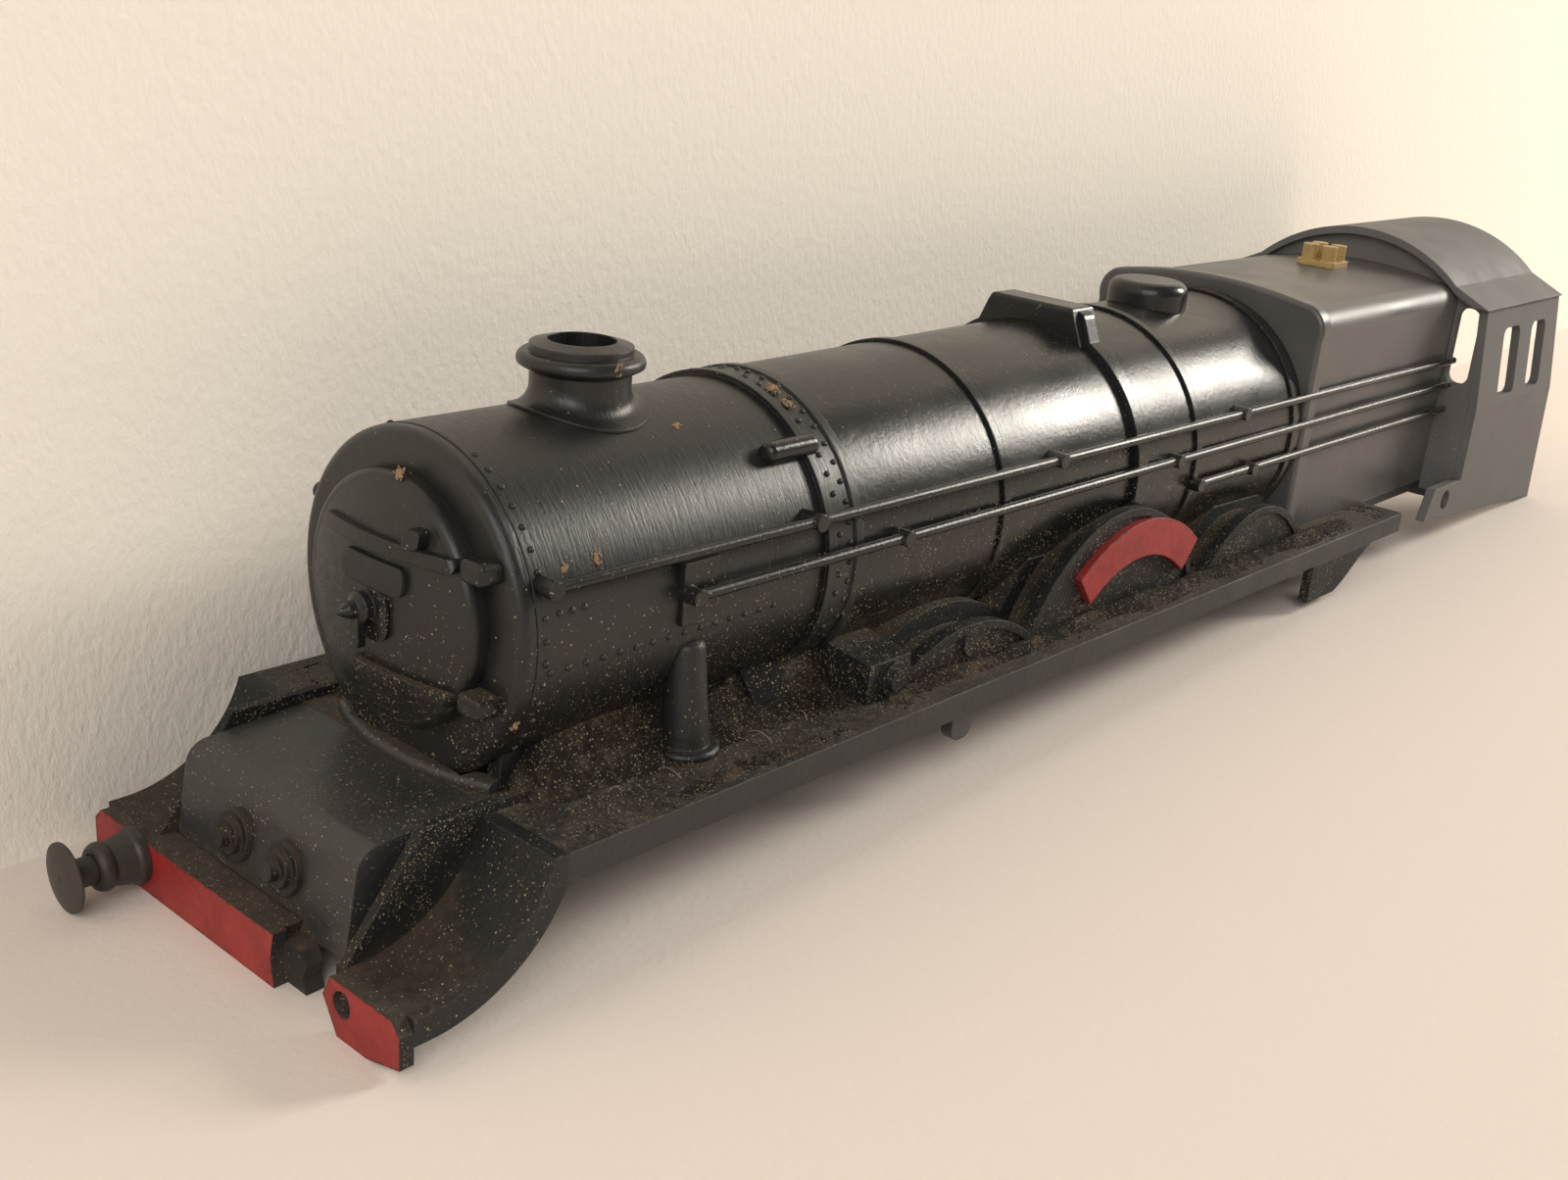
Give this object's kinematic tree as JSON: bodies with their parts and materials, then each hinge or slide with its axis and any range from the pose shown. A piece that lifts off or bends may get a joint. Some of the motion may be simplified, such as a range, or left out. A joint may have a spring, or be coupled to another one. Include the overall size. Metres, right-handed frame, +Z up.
{
  "type": "model steam locomotive body",
  "caption": "Moulded body shell of a small-scale express steam engine, with one sprung buffer and an open underside for a chassis",
  "frame": {"origin": "The middle of the bounding box in plan, at the level of the lowest edges of the buffer beam", "axes": "+X points forward to the buffers, +Y to the engine's left-hand side, +Z up"},
  "size_m": [0.1812, 0.0344, 0.0383],
  "materials": {
    "black_plastic": "satin",
    "red_paint": "worn satin",
    "plate_red": "worn satin",
    "buffer_brown": "satin",
    "spring_steel": "drawn wire",
    "valve_gold": "satin",
    "number_black": "matte"
  },
  "bodies": {
    "shell": {"ashpan_sides": "black_plastic", "boiler_bands": "black_plastic", "boiler_barrel": "black_plastic", "buffer_beam": "red_paint", "buffer_beam_end": "red_paint", "buffer_plug": "black_plastic", "buffer_spring": "spring_steel", "buffer_stock": "black_plastic", "cab_front": "black_plastic", "cab_roof": "black_plastic", "cab_side_left": "black_plastic", "cab_side_right": "black_plastic", "chimney": "black_plastic", "cover_bosses": "black_plastic", "cylinder_cover": "black_plastic", "dome": "black_plastic", "door_dart": "black_plastic", "door_hinges": "black_plastic", "door_straps": "black_plastic", "drop_plate_left": "black_plastic", "drop_plate_right": "black_plastic", "ejector": "black_plastic", "ejector_pipe_left": "black_plastic", "ejector_pipe_right": "black_plastic", "feed_pipes": "black_plastic", "firebox": "black_plastic", "fixing_post": "black_plastic", "frame_plate_left": "black_plastic", "frame_plate_right": "black_plastic", "handrail_left": "black_plastic", "handrail_right": "black_plastic", "lamp_irons": "black_plastic", "lower_pipes": "black_plastic", "lubricator_left": "black_plastic", "lubricator_right": "black_plastic", "nameplate_left": "plate_red", "nameplate_right": "plate_red", "number_plate": "number_black", "plate_brackets": "black_plastic", "rear_bar": "black_plastic", "running_plate": "black_plastic", "saddle_lip": "black_plastic", "safety_valves": "valve_gold", "side_wall_left": "black_plastic", "side_wall_right": "black_plastic", "smokebox": "black_plastic", "smokebox_band": "black_plastic", "smokebox_door": "black_plastic", "smokebox_ring": "black_plastic", "splasher_front_left": "black_plastic", "splasher_front_right": "black_plastic", "splasher_middle_left": "black_plastic", "splasher_middle_right": "black_plastic", "splasher_rear_left": "black_plastic", "splasher_rear_right": "black_plastic", "steam_pipe_left": "black_plastic", "steam_pipe_right": "black_plastic", "top_feed": "black_plastic", "valance_lugs": "black_plastic"},
    "ram": {"buffer_ram": "buffer_brown"}
  },
  "joints": [
    {"name": "buffer_stroke", "type": "slide", "parent": "shell", "child": "ram", "axis": [1, 0, 0], "range_m": [-0.001, 0], "stiffness_N_per_m": 60, "springref_m": 0.0004, "deforming": ["buffer_spring"]}
  ]
}
